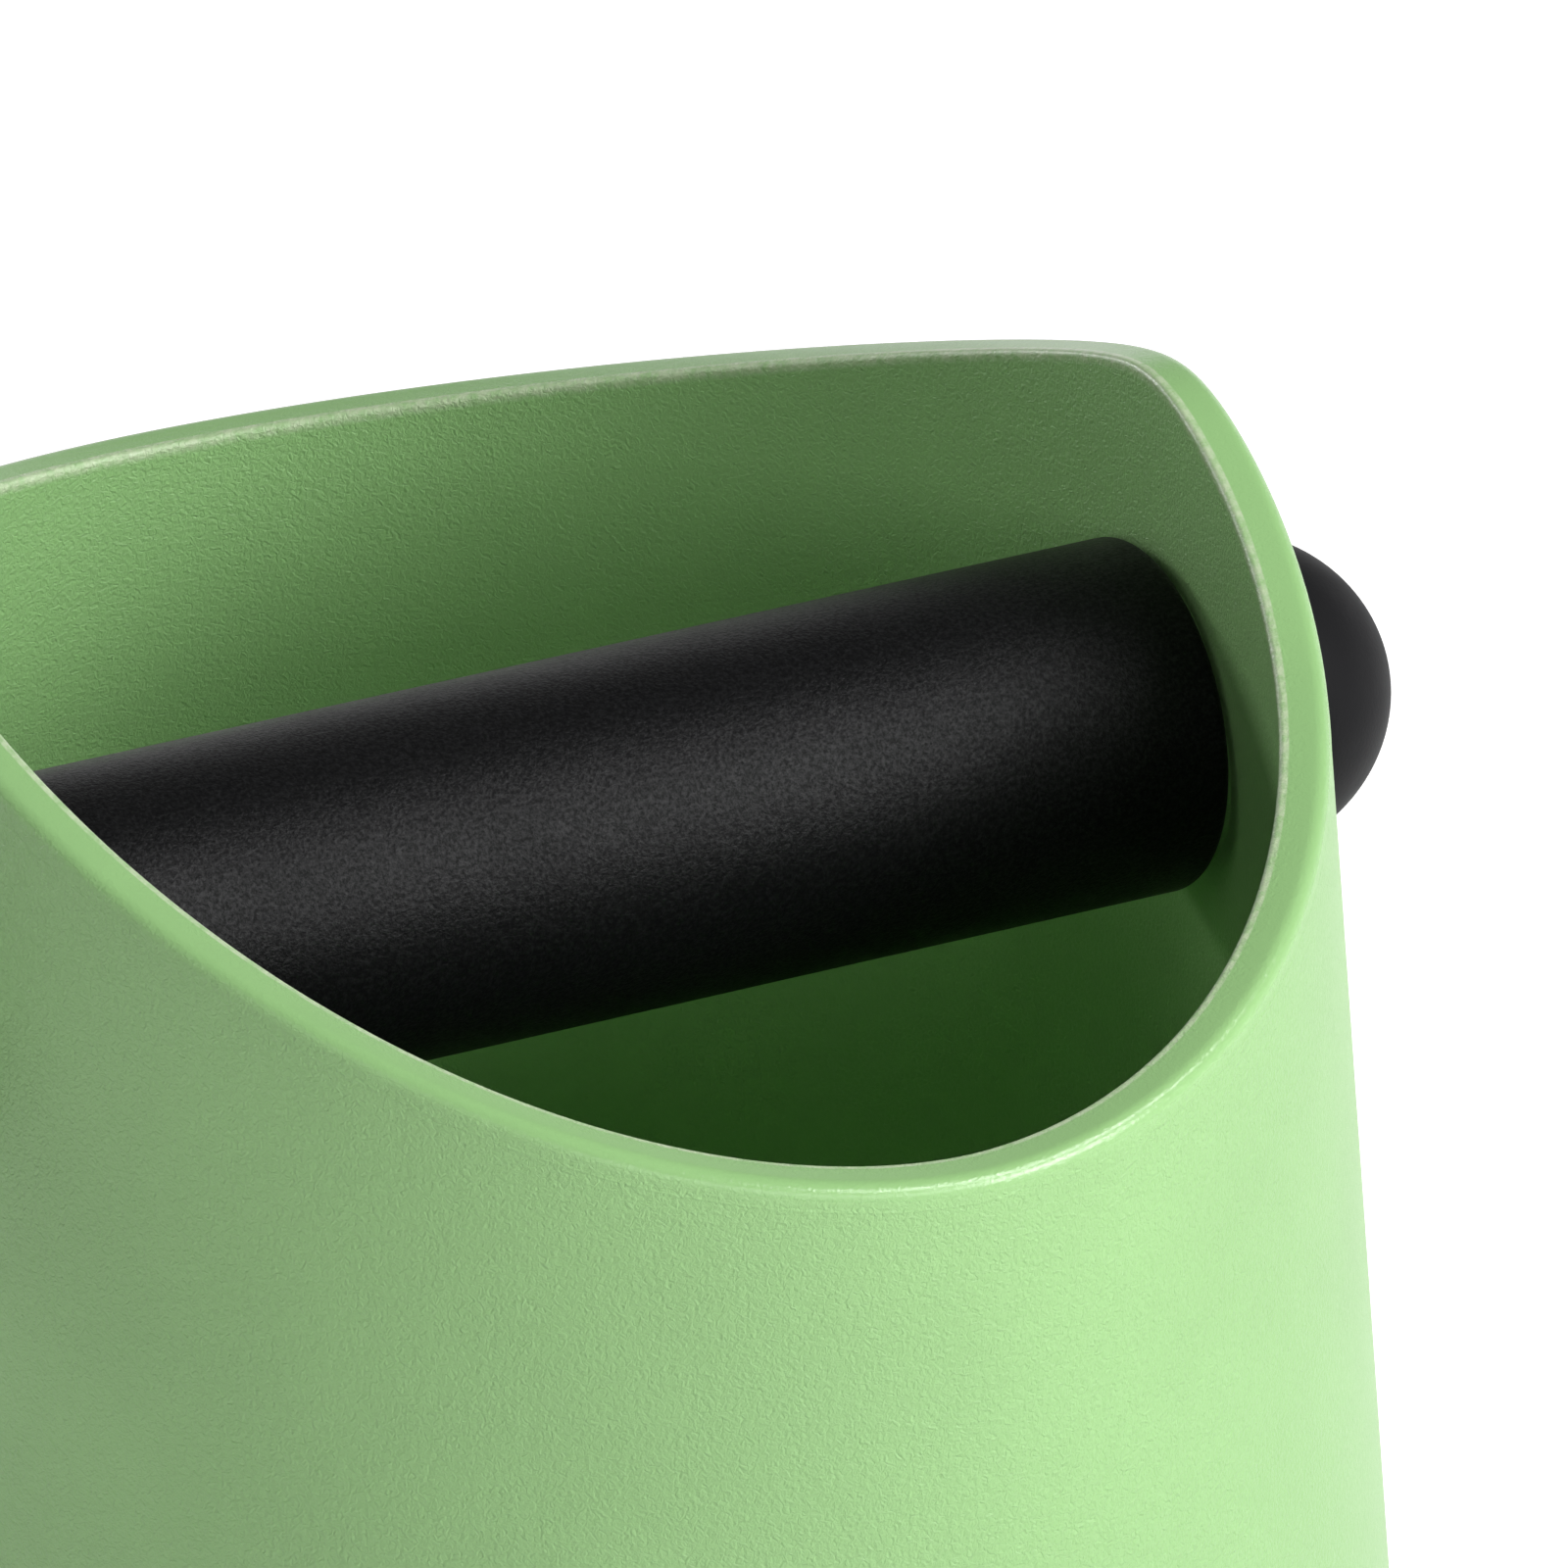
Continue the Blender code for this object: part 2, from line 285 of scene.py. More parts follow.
class Finish:
    """A procedural material, with short calls for the nodes that the finishes here are made of."""

    def __init__(self, name):
        self.material = bpy.data.materials.new(name)
        self.material.use_nodes = True
        self.nodes = self.material.node_tree.nodes
        self.links = self.material.node_tree.links
        self.shader = self.nodes["Principled BSDF"]
        self.place = self.nodes.new("ShaderNodeTexCoord").outputs["Object"]

    def feed(self, socket, value):
        """Links a node's output to a socket, or sets the socket to a value."""
        if isinstance(value, bpy.types.NodeSocket):
            self.links.new(value, socket)
        else:
            socket.default_value = value

    def node(self, kind, output, settings, **inputs):
        """Adds a node with its settings and inputs, and returns one of its outputs."""
        made = self.nodes.new("ShaderNode" + kind)
        for key, value in settings.items():
            setattr(made, key, value)
        for key, value in inputs.items():
            self.feed(made.inputs[key.replace("_", " ")], value)
        return made.outputs[output]

    def stored(self, name):
        """The number that mark_points stored under a name."""
        return self.node("Attribute", "Fac", {"attribute_name": name})

    def noise(self, scale, detail, rough=0.5, twist=0.0):
        """Cloudy noise, its scale in lumps to the metre, with finer layers on it and a twist."""
        return self.node(
            "TexNoise", "Fac", {}, Vector=self.place, Scale=scale, Detail=detail, Roughness=rough,
            Distortion=twist,
        )

    def ramp(self, value, span, result):
        """Carries a value from one span of numbers to another in a straight line, held at both ends."""
        return self.node(
            "MapRange", "Result", {}, Value=value, From_Min=span[0], From_Max=span[1], To_Min=result[0],
            To_Max=result[1],
        )

    def combined(self, operation, first, second):
        """Arithmetic of two values. The node's sockets share one name, so they are fed by their place."""
        made = self.nodes.new("ShaderNodeMath")
        made.operation = operation
        self.feed(made.inputs[0], first)
        self.feed(made.inputs[1], second)
        return made.outputs["Value"]

    def mixed(self, amount, first, second):
        """Mix of two colours, each a triple or a node's output. The mix node's colour sockets come last."""
        made = self.nodes.new("ShaderNodeMix")
        made.data_type = "RGBA"
        self.feed(made.inputs["Factor"], amount)
        for socket, colour in zip(made.inputs[6:8], (first, second)):
            self.feed(socket, (*colour, 1.0) if isinstance(colour, tuple) else colour)
        return made.outputs[2]

    def bump(self, height, depth, strength):
        """Normals of a surface raised by a height from 0 to 1 times a depth in metres, at a strength."""
        return self.node("Bump", "Normal", {}, Height=height, Distance=depth, Strength=strength)

    def give(self, piece, **sockets):
        """Sets the shader's sockets and puts the material on a piece."""
        for key, value in sockets.items():
            self.feed(self.shader.inputs[key.replace("_", " ")], value)
        piece.data.materials.clear()
        piece.data.materials.append(self.material)


def shaded(colour, factor):
    """A colour made darker or lighter by a factor on all three channels."""
    return tuple(factor * channel for channel in colour)


green = Finish("grained_green_abs")
cloud = green.ramp(green.noise(scale=38.0, detail=3.0), (0.35, 0.65), (0.0, 1.0))
clouded_green = green.mixed(cloud, shaded(TUB_GREEN, 0.97), shaded(TUB_GREEN, 1.03))
broken = green.ramp(green.noise(scale=900.0, detail=3.0, rough=0.7), (0.35, 0.6), (0.25, 1.0))
# The painted highlight on the rim's inner edge, broken up by noise, mixes the base colour towards pale
# green.
edge_highlight_mask = green.combined("MULTIPLY", green.stored("edge_highlight_paint"), broken)
leather = green.noise(scale=GRAIN_SCALE, detail=3.0, rough=0.55, twist=0.8)
grained = green.ramp(leather, (0.3, 0.7), (0.42, 0.34))
share_of_grain = green.stored("grain_share")
green.give(
    tub,
    Base_Color=green.mixed(edge_highlight_mask, clouded_green, PAINTED_HIGHLIGHT_GREEN),
    Roughness=green.ramp(share_of_grain, (GRAIN_LEAST, 1.0), (0.18, grained)),
    Specular_IOR_Level=0.62,
    Normal=green.bump(leather, depth=GRAIN_DEPTH, strength=share_of_grain),
)
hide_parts("body_shell")
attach(tub, "tub")

# Boot: a tray of black rubber stretched over the tub's stepped foot, flush with the wall above it. It is
# moulded with a fine matte skin, and oval grooves in its sole keep the box still when it is knocked.
BOOT_FLOOR = 0.0025
BOOT_TOP = 0.0065
BOOT_WRAP = 0.0020
BOOT_FOOT_ROUND = 0.0007
BOOT_LIP_ROUND = 0.0004
BOOT_INNER_EDGE = 0.0003
BOOT_GROOVE_DEPTH = 0.0008
BOOT_GROOVE_WIDTH = 0.0022
BOOT_GROOVE_SHAPE = np.array([0.5, 0.4, -0.4, -0.5])
BOOT_GROOVES = np.array([0.0260, 0.0200, 0.0140, 0.0080])
BOOT_SOLE_RINGS = [0.046, 0.034]
BOOT_FLOOR_RINGS = [0.012, 0.028, 0.046]
BOOT_BLACK = (0.0150, 0.0150, 0.0158)

groove_inset = (BOOT_GROOVES[:, None] + BOOT_GROOVE_WIDTH * BOOT_GROOVE_SHAPE).ravel()
groove_level = np.tile([0.0, BOOT_GROOVE_DEPTH, BOOT_GROOVE_DEPTH, 0.0], len(BOOT_GROOVES))
sole_rise, sole_run = quarter_round(7)
lip_rise, lip_run = quarter_round(6)
fixed, share, inset = profile_rows(
    (0.0, 0.0, BOOT_SOLE_RINGS),
    (groove_level, 0.0, groove_inset),
    (BOOT_FOOT_ROUND * (1.0 - sole_run), 0.0, BOOT_FOOT_ROUND * (1.0 - sole_rise)),
    (np.linspace(BOOT_FOOT_ROUND, BOOT_TOP - BOOT_LIP_ROUND, 7)[1:-1], 0.0, 0.0),
    (BOOT_TOP - BOOT_LIP_ROUND * (1.0 - lip_rise), 0.0, BOOT_LIP_ROUND * (1.0 - lip_run)),
    (
        [BOOT_TOP, BOOT_TOP - BOOT_INNER_EDGE, BOOT_FLOOR],
        0.0,
        [BOOT_WRAP - BOOT_INNER_EDGE, BOOT_WRAP, BOOT_WRAP],
    ),
    (BOOT_FLOOR, 0.0, BOOT_FLOOR_RINGS),
)
boot = piece_from_grid("rubber_boot", tub_grid(fixed, share, inset))
smooth_but_crisp(boot)
rubber = Finish("boot_rubber")
dust = rubber.noise(scale=420.0, detail=4.0)
skin = rubber.noise(scale=2600.0, detail=3.0)
rubber.give(
    boot,
    Base_Color=rubber.mixed(dust, BOOT_BLACK, shaded(BOOT_BLACK, 1.5)),
    Roughness=rubber.ramp(dust, (0.3, 0.7), (0.66, 0.80)),
    Specular_IOR_Level=0.3,
    Normal=rubber.bump(skin, depth=0.00006, strength=0.6),
)
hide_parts("base_boot")
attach(boot, "tub")

# Sleeve: a thick moulded tube of black rubber that slides over the core and takes the knocks. Its skin
# has a fine matte grain that breaks the light into specks, and its ends are let in for the washers.
SLEEVE_END = 0.05271
SLEEVE_RADIUS = 0.0140
SLEEVE_ROUND = 0.0009
SLEEVE_BORE = 0.0053
SLEEVE_BORE_EDGE = 0.0004
SLEEVE_RECESS_DEPTH = 0.0011
SLEEVE_RECESS_RADIUS = 0.0113
SLEEVE_RECESS_EDGE = 0.0002
SLEEVE_ROWS = 18
SLEEVE_COLUMNS = 144
SLEEVE_BLACK = (0.0030, 0.0031, 0.0034)

round_rise, round_run = quarter_round(8)
recess = SLEEVE_END - SLEEVE_RECESS_DEPTH
half_along = np.concatenate([
    [recess - SLEEVE_BORE_EDGE, recess, recess, SLEEVE_END - SLEEVE_RECESS_EDGE, SLEEVE_END],
    SLEEVE_END - SLEEVE_ROUND * (1.0 - round_run),
    np.linspace(SLEEVE_END - SLEEVE_ROUND, 0.0, SLEEVE_ROWS + 2)[1:-1],
])
half_radius = np.concatenate([
    [SLEEVE_BORE, SLEEVE_BORE + SLEEVE_BORE_EDGE, SLEEVE_RECESS_RADIUS, SLEEVE_RECESS_RADIUS],
    [SLEEVE_RECESS_RADIUS + SLEEVE_RECESS_EDGE],
    SLEEVE_RADIUS - SLEEVE_ROUND * (1.0 - round_rise),
    np.full(SLEEVE_ROWS, SLEEVE_RADIUS),
])
sleeve = piece_from_grid("rubber_sleeve", turned_about_bar(
    np.concatenate([half_along, -half_along[::-1]]),
    np.concatenate([half_radius, half_radius[::-1]]),
    SLEEVE_COLUMNS,
), ends="loop")
smooth_but_crisp(sleeve)
speckle = Finish("speckled_black_rubber")
specks = speckle.noise(scale=2900.0, detail=3.0, rough=0.75)
rubbed = speckle.noise(scale=70.0, detail=4.0, rough=0.6)
pale_specks = speckle.ramp(specks, (0.5, 0.75), (0.0, 1.0))
speckle.give(
    sleeve,
    Base_Color=speckle.mixed(pale_specks, SLEEVE_BLACK, shaded(SLEEVE_BLACK, 2.5)),
    Roughness=speckle.ramp(rubbed, (0.3, 0.7), (0.38, 0.46)),
    Specular_IOR_Level=speckle.ramp(specks, (0.38, 0.64), (0.08, 0.22)),
    Normal=speckle.bump(specks, depth=0.0001, strength=0.8),
)
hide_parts("bar_sleeve")
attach(sleeve, "sleeve")

# Washers: a flat stainless ring let into each end of the sleeve, so that the rubber turns against steel.
# Punched from sheet, with tumbled edges and fine turning marks on the faces.
WASHER_INNER_FACE = 0.05191
WASHER_OUTER_FACE = 0.05271
WASHER_RADIUS = 0.0110
WASHER_BORE = 0.0053
WASHER_EDGE = 0.0002
WASHER_STEEL = (0.62, 0.62, 0.61)
RING_COLUMNS = 96
RING_EDGE_POINTS = 5
LATHE_SCALE = 5200.0
LATHE_DEPTH = 0.000012


def rounded_ring(inner_face, outer_face, bore, radius, edge):
    """Loop of a ring's section: four quarter circles of the edge's radius, one at each corner."""
    sweep = np.linspace(0.0, 90.0, RING_EDGE_POINTS)
    angle = np.radians(np.concatenate([sweep + 90.0 * corner for corner in range(4)]))
    high, low = outer_face - edge, inner_face + edge
    wide, narrow = radius - edge, bore + edge
    centre_along = np.repeat([high, low, low, high], RING_EDGE_POINTS)
    centre_radius = np.repeat([wide, wide, narrow, narrow], RING_EDGE_POINTS)
    return centre_along + edge * np.cos(angle), centre_radius + edge * np.sin(angle)


def turned_metal(name, colour, rough):
    """Metal with rings about the bar's axis from the lathe, and a faint cloud of handling."""
    metal = Finish(name)
    centred = metal.node("Mapping", "Vector", {}, Vector=metal.place, Location=(0.0, 0.0, -BAR_HEIGHT))
    rings = metal.node(
        "TexWave", "Fac", {"wave_type": "RINGS", "rings_direction": "X"}, Vector=centred,
        Scale=LATHE_SCALE, Distortion=2.0, Detail=3.0,
    )
    handled = metal.noise(scale=240.0, detail=3.0, rough=0.6)
    return metal, dict(
        Base_Color=metal.mixed(handled, shaded(colour, 0.90), shaded(colour, 1.06)),
        Metallic=1.0,
        Roughness=metal.ramp(handled, (0.3, 0.7), rough),
        Normal=metal.bump(rings, depth=LATHE_DEPTH, strength=0.5),
    )


washer_steel, washer_sockets = turned_metal("stainless_washer", WASHER_STEEL, rough=(0.24, 0.36))
along, radius = rounded_ring(WASHER_INNER_FACE, WASHER_OUTER_FACE, WASHER_BORE, WASHER_RADIUS, WASHER_EDGE)
for side, hand in (("left", -1.0), ("right", 1.0)):
    washer_grid = turned_about_bar(hand * along, radius, RING_COLUMNS)
    washer = piece_from_grid(side + "_washer", washer_grid, ends="loop")
    smooth_but_crisp(washer)
    washer_steel.give(washer, **washer_sockets)
    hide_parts(side + "_bar_washer")
    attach(washer, "tub")

# Core: a turned steel rod through the sleeve, the washers and both walls. It steps down to a cut thread
# at each end for the caps, with chamfered tips and the small centre holes that the lathe held it by.
CORE_RADIUS = 0.0050
CORE_SHOULDER = 0.06021
CORE_SHOULDER_EDGE = 0.0003
CORE_TIP = 0.06851
CORE_CHAMFER = 0.0008
CORE_RELIEF = 0.0006
CORE_CENTRE_HOLE = 0.0010
CORE_CENTRE_END = 0.0002
CORE_COLUMNS = 64
THREAD_PITCH = 0.00125
THREAD_CREST = 0.0040
THREAD_DEPTH = 0.00072
THREAD_STEEPNESS = 1.3
THREAD_ROWS = 84
CORE_STEEL = (0.56, 0.56, 0.55)


def thread_height(along, columns):
    """Height over the root of a right-hand thread, from 0 to 1, on a grid of places and turns.

    The phase is the place over the pitch less the turn. A triangle wave of it is steepened about its
    middle and cut flat at both ends.
    """
    turn = np.linspace(0.0, 1.0, columns, endpoint=False)
    phase = np.mod(np.asarray(along)[:, None] / THREAD_PITCH - turn, 1.0)
    wave = np.abs(2.0 * phase - 1.0)
    return np.clip(THREAD_STEEPNESS * wave - 0.5 * (THREAD_STEEPNESS - 1.0), 0.0, 1.0)


cut = np.linspace(CORE_SHOULDER + CORE_RELIEF, CORE_TIP, THREAD_ROWS)
root = THREAD_CREST - THREAD_DEPTH
cut_edge = THREAD_CREST - CORE_CHAMFER + (CORE_TIP - cut)
plain_along = [0.0, 0.5 * CORE_SHOULDER, CORE_SHOULDER - CORE_SHOULDER_EDGE, CORE_SHOULDER, CORE_SHOULDER]
plain_radius = [CORE_RADIUS, CORE_RADIUS, CORE_RADIUS, CORE_RADIUS - CORE_SHOULDER_EDGE, root]
tip_along = [CORE_TIP, CORE_TIP - CORE_CENTRE_HOLE]
tip_radius = [CORE_CENTRE_HOLE, CORE_CENTRE_END]


def core_half(hand):
    """Places and radii of one half of the core, with its thread cut no higher than the tip's chamfer."""
    height = root + THREAD_DEPTH * thread_height(hand * cut, CORE_COLUMNS)
    threaded = np.minimum(height, cut_edge[:, None])
    wide = np.ones(CORE_COLUMNS)
    along = np.concatenate([plain_along, cut, tip_along])
    return hand * along, np.concatenate([np.outer(plain_radius, wide), threaded, np.outer(tip_radius, wide)])


left_along, left_radius = core_half(-1.0)
right_along, right_radius = core_half(1.0)
core = piece_from_grid("threaded_core", turned_about_bar(
    np.concatenate([left_along[::-1], right_along[1:]]),
    np.concatenate([left_radius[::-1], right_radius[1:]]),
    CORE_COLUMNS,
))
smooth_but_crisp(core)
core_steel, core_sockets = turned_metal("turned_core_steel", CORE_STEEL, rough=(0.26, 0.40))
core_steel.give(core, **core_sockets)
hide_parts("bar_core")
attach(core, "core")

# Seals: a soft rubber ring between each cap and the tub's outer boss. Cut from moulded tube, so its edges
# are only just rounded; the cap squeezes it and drags it along the thread.
SEAL_INNER_FACE = 0.06051
SEAL_OUTER_FACE = 0.06151
SEAL_RADIUS = 0.0120
SEAL_BORE = 0.0063
SEAL_EDGE = 0.0003
SEAL_BLACK = (0.0120, 0.0120, 0.0125)

seal_rubber = Finish("seal_rubber")
bloom = seal_rubber.noise(scale=700.0, detail=4.0, rough=0.6)
along, radius = rounded_ring(SEAL_INNER_FACE, SEAL_OUTER_FACE, SEAL_BORE, SEAL_RADIUS, SEAL_EDGE)
for side, hand in (("left", -1.0), ("right", 1.0)):
    seal_grid = turned_about_bar(hand * along, radius, RING_COLUMNS)
    seal = piece_from_grid(side + "_seal_ring", seal_grid, ends="loop")
    smooth_but_crisp(seal)
    seal_rubber.give(
        seal,
        Base_Color=seal_rubber.mixed(bloom, SEAL_BLACK, shaded(SEAL_BLACK, 1.8)),
        Roughness=seal_rubber.ramp(bloom, (0.3, 0.7), (0.58, 0.72)),
        Specular_IOR_Level=0.3,
        Normal=seal_rubber.bump(bloom, depth=0.00005, strength=0.5),
    )
    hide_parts(side + "_cap_seal")
    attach(seal, side + "_seal")

# Inserts: a brass bush moulded into each cap, with a diamond knurl and a ring groove outside that keep it
# from turning or pulling out, and the thread that the core's end screws into.
INSERT_INNER_END = 0.06051
INSERT_OUTER_END = 0.06881
INSERT_RADIUS = 0.0060
INSERT_BORE_CLEARANCE = 0.00016
INSERT_BORE_ROWS = 92
INSERT_CHAMFER = 0.0004
INSERT_COLUMNS = 128
KNURL_DEPTH = 0.00022
KNURL_COUNT = 16
KNURL_SLANT = 0.0026
KNURL_ROWS = 44
GROOVE_DEPTH = 0.0004
GROOVE_WIDTH = 0.0011
INSERT_BRASS = (0.74, 0.53, 0.22)


def insert_loop(hand):
    """Loop of places and radii of an insert: knurled outside one way, threaded bore back the other.

    The knurl is the larger of two waves that slant opposite ways, cut down in a groove at the middle.
    The bore is the core's own thread with a clearance, opened out by a chamfer at each end.
    """
    turn = np.linspace(0.0, 2.0 * math.pi, INSERT_COLUMNS, endpoint=False)
    outside = np.linspace(INSERT_INNER_END + INSERT_CHAMFER, INSERT_OUTER_END - INSERT_CHAMFER, KNURL_ROWS)
    slant = (outside / KNURL_SLANT * 2.0 * math.pi)[:, None]
    diamond = np.maximum(
        np.abs(np.sin(KNURL_COUNT * turn + slant)),
        np.abs(np.sin(KNURL_COUNT * turn - slant)),
    )
    middle = 0.5 * (INSERT_INNER_END + INSERT_OUTER_END)
    groove = GROOVE_DEPTH * (np.abs(outside - middle) < 0.5 * GROOVE_WIDTH)
    knurled = np.minimum(INSERT_RADIUS - KNURL_DEPTH * (1.0 - diamond), INSERT_RADIUS - groove[:, None])
    bore = np.linspace(INSERT_OUTER_END, INSERT_INNER_END, INSERT_BORE_ROWS)
    opened = THREAD_CREST + INSERT_CHAMFER - np.minimum(bore - INSERT_INNER_END, INSERT_OUTER_END - bore)
    threaded = root + INSERT_BORE_CLEARANCE + THREAD_DEPTH * thread_height(hand * bore, INSERT_COLUMNS)
    ends = np.full((1, INSERT_COLUMNS), INSERT_RADIUS - INSERT_CHAMFER)
    along = np.concatenate([[INSERT_INNER_END], outside, [INSERT_OUTER_END], bore])
    radius = np.concatenate([ends, knurled, ends, np.maximum(threaded, opened[:, None])])
    return hand * along, radius


brass = Finish("tarnished_brass")
tarnish = brass.noise(scale=520.0, detail=4.0, rough=0.6)
for side, hand in (("left", -1.0), ("right", 1.0)):
    insert_grid = turned_about_bar(*insert_loop(hand), INSERT_COLUMNS)
    insert = piece_from_grid(side + "_brass_insert", insert_grid, ends="loop")
    smooth_but_crisp(insert, crisp_over=30.0)
    brass.give(
        insert,
        Base_Color=brass.mixed(tarnish, shaded(INSERT_BRASS, 0.80), INSERT_BRASS),
        Metallic=1.0,
        Roughness=brass.ramp(tarnish, (0.3, 0.7), (0.24, 0.40)),
        Normal=brass.bump(tarnish, depth=0.00001, strength=0.6),
    )
    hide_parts(side + "_cap_insert")
    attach(insert, side + "_knob")

# Caps: domed hand screws moulded in charcoal plastic with a fine spark-eroded matte skin. Each is moulded
# round its insert, screws on to the core and clamps its seal, and with it the bar, to the tub.
CAP_BASE = 0.06181
CAP_RADIUS = 0.0125
CAP_HEIGHT = 0.0109
CAP_CENTRE_BELOW = 0.0031
CAP_BAND = 0.0005
CAP_BASE_EDGE = 0.0002
CAP_POCKET_RADIUS = 0.0063
CAP_POCKET_END = 0.06911
CAP_POCKET_EDGE = 0.0003
CAP_POCKET_RING = 0.0008
CAP_TOP_ANGLE = 0.497 * math.pi
CAP_DOME_ROWS = 40
CAP_COLUMNS = 112
CAP_CHARCOAL = (0.0060, 0.0059, 0.0068)

# The dome is an ellipse's arc about a centre below the base, from the cap's full radius to near its top.
crown = CAP_HEIGHT + CAP_CENTRE_BELOW
base_angle = math.asin((CAP_CENTRE_BELOW + CAP_BAND) / crown)
swell = np.linspace(base_angle, CAP_TOP_ANGLE, CAP_DOME_ROWS)
base_rise, base_run = quarter_round(5)
cap_along = np.concatenate([
    [CAP_POCKET_END, CAP_POCKET_END, CAP_POCKET_END - CAP_POCKET_EDGE, CAP_BASE + CAP_POCKET_EDGE, CAP_BASE],
    CAP_BASE + CAP_BASE_EDGE * (1.0 - base_run),
    CAP_BASE + crown * np.sin(swell) - CAP_CENTRE_BELOW,
])
cap_radius = np.concatenate([
    [CAP_POCKET_RING, CAP_POCKET_RADIUS - CAP_POCKET_EDGE, CAP_POCKET_RADIUS, CAP_POCKET_RADIUS],
    [CAP_POCKET_RADIUS + CAP_POCKET_EDGE],
    CAP_RADIUS - CAP_BASE_EDGE * (1.0 - base_rise),
    CAP_RADIUS / math.cos(base_angle) * np.cos(swell),
])
charcoal = Finish("charcoal_matte_plastic")
sparked = charcoal.noise(scale=3000.0, detail=3.0, rough=0.6)
fingered = charcoal.noise(scale=110.0, detail=3.0, rough=0.6)
for side, hand in (("left", -1.0), ("right", 1.0)):
    cap = piece_from_grid(side + "_domed_cap", turned_about_bar(hand * cap_along, cap_radius, CAP_COLUMNS))
    smooth_but_crisp(cap)
    charcoal.give(
        cap,
        Base_Color=charcoal.mixed(fingered, shaded(CAP_CHARCOAL, 0.92), shaded(CAP_CHARCOAL, 1.08)),
        Roughness=charcoal.ramp(fingered, (0.3, 0.7), (0.50, 0.60)),
        Specular_IOR_Level=0.10,
        Normal=charcoal.bump(sparked, depth=0.00004, strength=0.5),
    )
    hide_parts(side + "_cap")
    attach(cap, side + "_knob")

# Floor: a wide pale sheet under the box, which keeps the lamps' soft shadow. A glow that only the lens and
# shines see brings it up towards white, more so far away, as in a photographer's white surround.
FLOOR_REACH = 8.0
FLOOR_UNDER = -0.0003
FLOOR_SQUARES = 8
FLOOR_TONE = (0.80, 0.80, 0.80)
FLOOR_LIFT_NEAR = 0.62
FLOOR_LIFT_FAR = 0.98
FLOOR_FAR_FROM = 0.8
FLOOR_FAR_TO = 3.0

floor_row = FLOOR_SQUARES + 1
side_to_side = np.linspace(-FLOOR_REACH, FLOOR_REACH, floor_row)
floor_x, floor_y = np.meshgrid(side_to_side, side_to_side, indexing="ij")
floor_points = np.stack([floor_x, floor_y, np.full_like(floor_x, FLOOR_UNDER)], axis=-1).reshape(-1, 3)
first_corner = (np.arange(FLOOR_SQUARES)[:, None] * floor_row + np.arange(FLOOR_SQUARES)).ravel()
floor_faces = first_corner[:, None] + np.array([0, floor_row, floor_row + 1, 1])
floor_mesh = bpy.data.meshes.new("pale_floor")
floor_mesh.from_pydata(floor_points.tolist(), [], floor_faces.tolist())
floor = bpy.data.objects.new("pale_floor", floor_mesh)
bpy.context.scene.collection.objects.link(floor)
floor_paint = Finish("pale_floor")
seen = floor_paint.nodes.new("ShaderNodeLightPath").outputs
mirrored = floor_paint.combined("MAXIMUM", seen["Is Glossy Ray"], seen["Is Transmission Ray"])
looked_at = floor_paint.combined("MAXIMUM", seen["Is Camera Ray"], mirrored)
away = floor_paint.node("VectorMath", "Value", {"operation": "LENGTH"}, Vector=floor_paint.place)
lift = floor_paint.ramp(away, (FLOOR_FAR_FROM, FLOOR_FAR_TO), (FLOOR_LIFT_NEAR, FLOOR_LIFT_FAR))
fleck = floor_paint.noise(scale=90.0, detail=2.0)
floor_paint.give(
    floor,
    Base_Color=floor_paint.mixed(fleck, shaded(FLOOR_TONE, 0.99), shaded(FLOOR_TONE, 1.01)),
    Roughness=0.9,
    Specular_IOR_Level=0.0,
    Emission_Color=(1.0, 1.0, 1.0, 1.0),
    Emission_Strength=floor_paint.ramp(looked_at, (0.0, 1.0), (0.0, lift)),
)

# Studio: a white surround with a dim ceiling, which fills the shadows only weakly, and five soft lamps. A
# broad one in front and one on its right light the walls and look in over the rim, and the left and rear
# ones fill. A long thin one above the right draws the sheen on the rim's edge and along the sleeve.
SURROUND_FILL = 0.07
CEILING_TONE = 0.20
CEILING_FROM = 0.12
CEILING_TO = 0.42
LAMP_AIM = np.array([0.0, 0.0, 0.09])

world = bpy.data.worlds.new("white_surround")
bpy.context.scene.world = world
world.use_nodes = True
sky_nodes = world.node_tree.nodes
sky_link = world.node_tree.links.new
sky_seen = sky_nodes.new("ShaderNodeLightPath")
sky_way = sky_nodes.new("ShaderNodeSeparateXYZ")
sky_link(sky_nodes.new("ShaderNodeTexCoord").outputs["Generated"], sky_way.inputs["Vector"])
ceiling = sky_nodes.new("ShaderNodeMapRange")
sky_link(sky_way.outputs["Z"], ceiling.inputs["Value"])
ceiling.inputs["From Min"].default_value = CEILING_FROM
ceiling.inputs["From Max"].default_value = CEILING_TO
ceiling.inputs["To Min"].default_value = 1.0
ceiling.inputs["To Max"].default_value = CEILING_TONE
in_shine = sky_nodes.new("ShaderNodeMath")
in_shine.operation = "MAXIMUM"
sky_link(sky_seen.outputs["Is Glossy Ray"], in_shine.inputs[0])
sky_link(sky_seen.outputs["Is Transmission Ray"], in_shine.inputs[1])
shine_level = sky_nodes.new("ShaderNodeMix")
sky_link(in_shine.outputs["Value"], shine_level.inputs["Factor"])
shine_level.inputs["A"].default_value = SURROUND_FILL
sky_link(ceiling.outputs["Result"], shine_level.inputs["B"])
sky_level = sky_nodes.new("ShaderNodeMix")
sky_link(sky_seen.outputs["Is Camera Ray"], sky_level.inputs["Factor"])
sky_link(shine_level.outputs["Result"], sky_level.inputs["A"])
sky_level.inputs["B"].default_value = 1.0
sky_link(sky_level.outputs["Result"], sky_nodes["Background"].inputs["Strength"])
sky_nodes["Background"].inputs["Color"].default_value = (1.0, 1.0, 1.0, 1.0)


